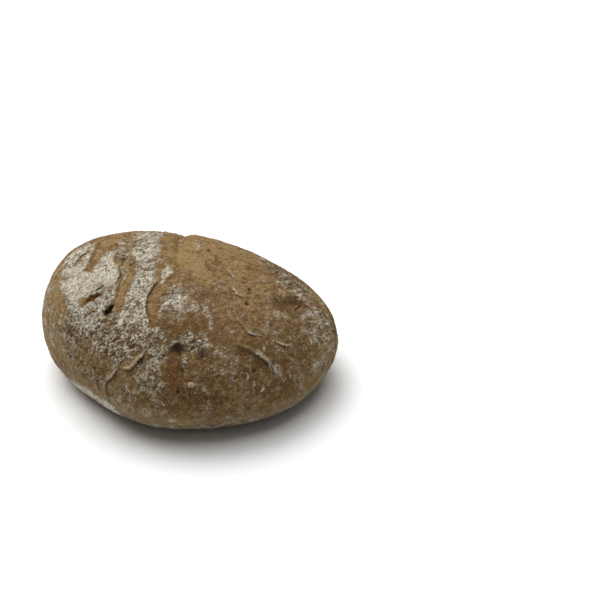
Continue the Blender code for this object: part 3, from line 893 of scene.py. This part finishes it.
def curlSections(mark, seed):            # sections of one curl, each a closed loop of points
    places = smoothRoute(mark["route"], 40)
    line = smoothCrust(places)
    passed = passedAlong(line)
    start, stop = (passed[-1] * end for end in mark.get("torn", (0, 1)))
    stations = np.linspace(start, stop, max(8, round((stop - start) / curls["spacing"])))
    places = np.stack([np.interp(stations, passed, places[:, axis]) for axis in (0, 1)], axis=1)
    normals = outward(places)
    points = smoothCrust(places)
    along = unit(np.gradient(points, axis=0))
    out = mark["steep"] * np.cross(normals, along)
    points = points + normals * lumps(points)[:, None]
    share = (stations - start) / (stop - start)
    fade = smoothStep(0, 0.3, share) * smoothStep(0, 0.3, 1 - share)
    tatter = wave(points, curls["raggedSize"], seed)
    uneven = 1 + curls["unevenness"] * wave(points, curls["unevenSize"], seed + 1)
    wide = mark["half"] * curls["reachOut"] * mark.get("curl", 1) * (0.3 + 0.7 * fade) * uneven
    lift = mark["rise"] * curls["liftUp"] * fade * (1 + 0.35 * tatter) * (0.5 + 0.5 * uneven)
    thick = curls["thickness"] * (0.4 + 0.6 * fade) * min(1, mark["half"] / curls["fullHalf"])
    profile = np.array(curls["outline"])
    lean = unit(np.gradient(profile[:, :2], axis=0))
    loop = []
    for sign in (1, -1):
        for (reach, up, thickShare), (du, dv) in list(zip(profile, lean))[::sign]:
            frayed = 1 + curls["ragged"] * tatter * max(reach, 0)
            aside = reach * wide * frayed - sign * dv * thick * thickShare / 2
            above = up * lift - curls["sink"] + sign * du * thick * thickShare / 2
            loop.append(points + out * aside[:, None] + normals * above[:, None])
    return np.stack(loop, axis=1), places


def makeCurls():
    points, faces = [], []
    places = []
    count = 0
    lips = [mark for mark in (*marks.values(), *fineMarks.values())
            if mark["kind"] == "lip" and mark.get("curl", 1)]
    for seed, mark in enumerate(lips):
        sections, where = curlSections(mark, 30 + 2 * seed)
        stations, around = sections.shape[:2]
        for i in range(stations - 1):
            for j in range(around):
                a = count + i * around + j
                b = count + i * around + (j + 1) % around
                faces.append((a, a + around, b + around, b))
        faces.append(tuple(count + j for j in range(around)))
        faces.append(tuple(count + (stations - 1) * around + j for j in reversed(range(around))))
        points.append(sections.reshape(-1, 3))
        places.append(np.repeat(where, around, axis=0))
        count += stations * around
    points = np.concatenate(points)
    fields = skinFields(np.concatenate(places))
    around = 2 * len(curls["outline"])
    spot = np.tile(np.arange(around), count // around)
    under = spot >= around // 2                 # pale and floury above, painted shade below
    fields["pale"] = np.where(under, 0.2, 0.25 + 0.45 * (spot / (around / 2)))
    fields["dark"] = np.where(under, 0.45, 0.0)
    fields["crack"] = np.zeros(count)
    fields["flour"] = np.where(under, 0.1, 0.50)
    addPiece("skinCurls", points + planShift, faces, fields)


makeCurls()

# How loose bits scatter: their chance on bare crust, how far out they lie, and how few lie in holes
scatter = dict(least=0.012, farthest=1.2, offDark=0.9)

# Grains and clumps of flour, most where flour lies thick
clumps = dict(
    count=6500, least=0.00014, most=0.00040, flatness=0.65, sink=0.2, knobbly=0.28, seed=5,
    flour=(0.5, 1.1), bake=0.4,
)


def scatterWeight(low, power):           # chance of a place, more where more flour lies
    near = np.hypot(*crustFields["places"].T) < scatter["farthest"]
    weight = np.clip(crustFields["flour"] - low, scatter["least"], 1) ** power * near
    weight = weight * (1 - scatter["offDark"] * crustFields["dark"].clip(0, 1))
    return weight / weight.sum()


def makeClumps():
    draw = np.random.default_rng(clumps["seed"])
    weight = scatterWeight(0.35, 1.4)
    picked = draw.choice(len(weight), clumps["count"], replace=False, p=weight)
    radius = clumps["least"] + (clumps["most"] - clumps["least"]) * draw.random(clumps["count"]) ** 2.5
    centres, outer = crustFields["points"][picked], crustFields["outer"][picked]

    ball = bmesh.new()
    bmesh.ops.create_icosphere(ball, subdivisions=1, radius=1)
    corners = np.array([vert.co[:] for vert in ball.verts])
    sides = np.array([[vert.index for vert in face.verts] for face in ball.faces])
    ball.free()
    knobs = 1 + clumps["knobbly"] * draw.standard_normal((len(radius), len(corners), 1)).clip(-1.5, 1.5)
    shape = corners * knobs * radius[:, None, None]
    height = (shape * outer[:, None]).sum(axis=2, keepdims=True)
    shape -= (1 - clumps["flatness"]) * height * outer[:, None]
    shape += (centres + outer * (radius * (clumps["flatness"] - clumps["sink"]))[:, None])[:, None]
    faces = (sides + len(corners) * np.arange(len(radius))[:, None, None]).reshape(-1, 3)
    flour = np.repeat(draw.uniform(*clumps["flour"], len(radius)), len(corners))
    addLoose("flourClumps", shape.reshape(-1, 3), faces.tolist(), flour=flour, bake=clumps["bake"])


makeClumps()

# Single angular crumbs: place on the map, turn in degrees, and radius
chips = dict(
    spots=[(360, -705, 20, 0.0026), (570, -490, 80, 0.0011), (690, -780, 10, 0.0006),
           (150, -700, 130, 0.0006), (710, -360, 60, 0.0008), (-60, -550, 200, 0.0006)],
    corners=18, slim=0.72, flatness=0.60, sink=0.20, tilt=18, flour=0.66, bake=0.4, seed=3,
)


def makeChips():
    points, faces = [], []
    spots = np.array(chips["spots"])
    fields = skinFields(spots[:, :2] / 1000)
    for place, (point, normal) in enumerate(zip(fields["points"] + planShift, fields["normals"])):
        draw = np.random.default_rng(chips["seed"] + place)
        _, _, turn, radius = spots[place]
        corners = unit(draw.standard_normal((chips["corners"], 3)))
        upright = Vector((0, 0, 1)).rotation_difference(Vector(normal)).to_matrix()
        tilt = Matrix.Rotation(math.radians(chips["tilt"]), 3, "X")
        spin = Matrix.Rotation(math.radians(turn), 3, "Z") @ tilt
        corners = corners * (1, chips["slim"], chips["flatness"]) * radius @ np.array(upright @ spin).T
        corners += point + normal * radius * (chips["flatness"] - chips["sink"])
        hull = bmesh.new()
        for corner in corners:
            hull.verts.new(corner)
        made = bmesh.ops.convex_hull(hull, input=hull.verts)
        inside = [part for part in made["geom_interior"] if isinstance(part, bmesh.types.BMVert)]
        bmesh.ops.delete(hull, geom=inside, context="VERTS")
        hull.verts.index_update()
        faces += [[len(points) + vert.index for vert in face.verts] for face in hull.faces]
        points += [vert.co[:] for vert in hull.verts]
        hull.free()
    addLoose("crustChips", points, faces, flour=chips["flour"], bake=chips["bake"]).data.shade_flat()


makeChips()

# Small thin flakes of skin that stand off the crackled crust
flakes = dict(
    count=420, length=(0.0007, 0.0014), slim=(0.35, 0.6), thickness=0.00014, sink=0.0002,
    lift=(0.05, 0.20), bend=0.35, seed=14,
    headingSpread=28,                           # degrees to both sides of where the wrinkles run
    leastFlour=0.45,                            # they lie only where there is more flour than this
    flour=(0.25, 0.75), bake=0.5, pale=0.5,
)


def makeFlakes():
    draw = np.random.default_rng(flakes["seed"])
    count = flakes["count"]
    floury = crustFields["flour"] > flakes["leastFlour"]
    weight = scatterWeight(0.30, 1.0) * crustFields["rough"] ** 2 * floury
    picked = draw.choice(len(weight), count, replace=False, p=weight / weight.sum())
    outer = crustFields["outer"][picked]
    heading = np.radians(skin["wrinkleHeading"] + draw.normal(0, flakes["headingSpread"], count))
    along = np.stack([np.cos(heading), np.sin(heading), np.zeros(count)], axis=1)
    along = unit(along - (along * outer).sum(axis=1, keepdims=True) * outer)
    across = np.cross(outer, along) * draw.choice([-1, 1], (count, 1))
    length = draw.uniform(*flakes["length"], count)
    slim = draw.uniform(*flakes["slim"], count) * length
    lift = draw.uniform(*flakes["lift"], count) * slim * 2

    rows, columns = 4, 3
    x, y = (grid.ravel() for grid in np.meshgrid(np.linspace(-1, 1, rows), np.linspace(0, 1, columns),
                                                 indexing="ij"))
    narrow = 1 - 0.55 * x ** 2
    layers = []
    for side in (1, -1):
        rise = (y ** 1.5)[None] * lift[:, None] + flakes["bend"] * (x ** 2)[None] * length[:, None] * 0.5
        rise = rise - flakes["sink"] + side * flakes["thickness"] / 2
        layers.append(crustFields["points"][picked][:, None]
                      + along[:, None] * (x[None] * length[:, None])[..., None]
                      + across[:, None] * ((y * narrow)[None] * slim[:, None] * 2)[..., None]
                      + outer[:, None] * rise[..., None])
    shape = np.concatenate(layers, axis=1)
    size = rows * columns
    own = []
    for i in range(rows - 1):
        for j in range(columns - 1):
            a = i * columns + j
            own.append((a, a + columns, a + columns + 1, a + 1))
            own.append((a + size, a + size + 1, a + size + columns + 1, a + size + columns))
    edge = ([i * columns for i in range(rows)] + [size - columns + j for j in range(1, columns)]
            + [i * columns + columns - 1 for i in range(rows - 2, -1, -1)]
            + [j for j in range(columns - 2, 0, -1)])
    for a, b in zip(edge, edge[1:] + edge[:1]):
        own.append((b, a, a + size, b + size))
    faces = (np.array(own) + 2 * size * np.arange(count)[:, None, None]).reshape(-1, 4)
    flour = np.repeat(draw.uniform(*flakes["flour"], count), 2 * size)
    addLoose("skinFlakes", shape.reshape(-1, 3), faces.tolist(), flour=flour, bake=flakes["bake"],
             pale=flakes["pale"])


makeFlakes()

# The floor, the light and the camera
studio = dict(
    floorSide=8.0, floorHeight=-0.0001, floorColour=(0.95, 0.95, 0.945, 1), floorRoughness=0.9,
    skyStrength=0.13,
    suns=dict(                                  # strength, angle across, degrees round from behind, up
        overhead=(2.55, 80, -40, 66), behind=(2.05, 54, -52, 46)),
)


def makeStudio():
    half = studio["floorSide"] / 2
    mesh = bpy.data.meshes.new("floor")
    corners = [(-half, -half, 0), (half, -half, 0), (half, half, 0), (-half, half, 0)]
    mesh.from_pydata(corners, [], [(0, 1, 2, 3)])
    sheet = Sheet("paleFloor")
    pale = sheet.finish(Base_Color=studio["floorColour"], Roughness=studio["floorRoughness"])
    mesh.materials.append(pale)
    floor = bpy.data.objects.new("floor", mesh)
    floor.location.z = studio["floorHeight"]
    bpy.context.scene.collection.objects.link(floor)

    world = bpy.data.worlds.new("sky")
    world.use_nodes = True
    world.node_tree.nodes["Background"].inputs["Color"].default_value = (1, 1, 1, 1)
    world.node_tree.nodes["Background"].inputs["Strength"].default_value = studio["skyStrength"]
    bpy.context.scene.world = world

    for name, (strength, across, turn, up) in studio["suns"].items():
        lamp = bpy.data.lights.new(name, "SUN")
        lamp.energy = strength
        lamp.angle = math.radians(across)
        sun = bpy.data.objects.new(name, lamp)
        turn, up = math.radians(turn), math.radians(up)
        towards = Vector((math.sin(turn) * math.cos(up), math.cos(turn) * math.cos(up), math.sin(up)))
        sun.rotation_mode = "QUATERNION"
        sun.rotation_quaternion = towards.to_track_quat("Z", "Y")
        bpy.context.scene.collection.objects.link(sun)


view = dict(
    azimuth=20, elevation=32, distance=0.900, aimHeight=0.045,
    focal=1368, imageSide=600, aimPixel=(187.6, 310.8), sensor=36,       # pixels of the photograph
)


def makeCamera():
    azimuth, elevation = math.radians(view["azimuth"]), math.radians(view["elevation"])
    back = Vector((math.sin(azimuth) * math.cos(elevation), -math.cos(azimuth) * math.cos(elevation),
                   math.sin(elevation)))
    right = Vector((math.cos(azimuth), math.sin(azimuth), 0))
    up = back.cross(right)
    centre = view["imageSide"] / 2
    perPixel = view["distance"] / view["focal"]
    aim = Vector((planShift[0], planShift[1], view["aimHeight"]))
    aside = (view["aimPixel"][0] - centre) * perPixel
    above = (centre - view["aimPixel"][1]) * perPixel
    lens = bpy.data.cameras.new("camera")
    lens.sensor_width = view["sensor"]
    lens.lens = view["focal"] / view["imageSide"] * view["sensor"]
    lens.clip_start, lens.clip_end = 0.01, 50
    camera = bpy.data.objects.new("camera", lens)
    axes = Matrix((right, up, back)).transposed().to_4x4()
    place = aim + back * view["distance"] - right * aside - up * above
    camera.matrix_world = Matrix.Translation(place) @ axes
    bpy.context.scene.collection.objects.link(camera)
    bpy.context.scene.camera = camera


makeStudio()
makeCamera()
bpy.context.scene.view_settings.view_transform = "Standard"
print("studio and camera set")
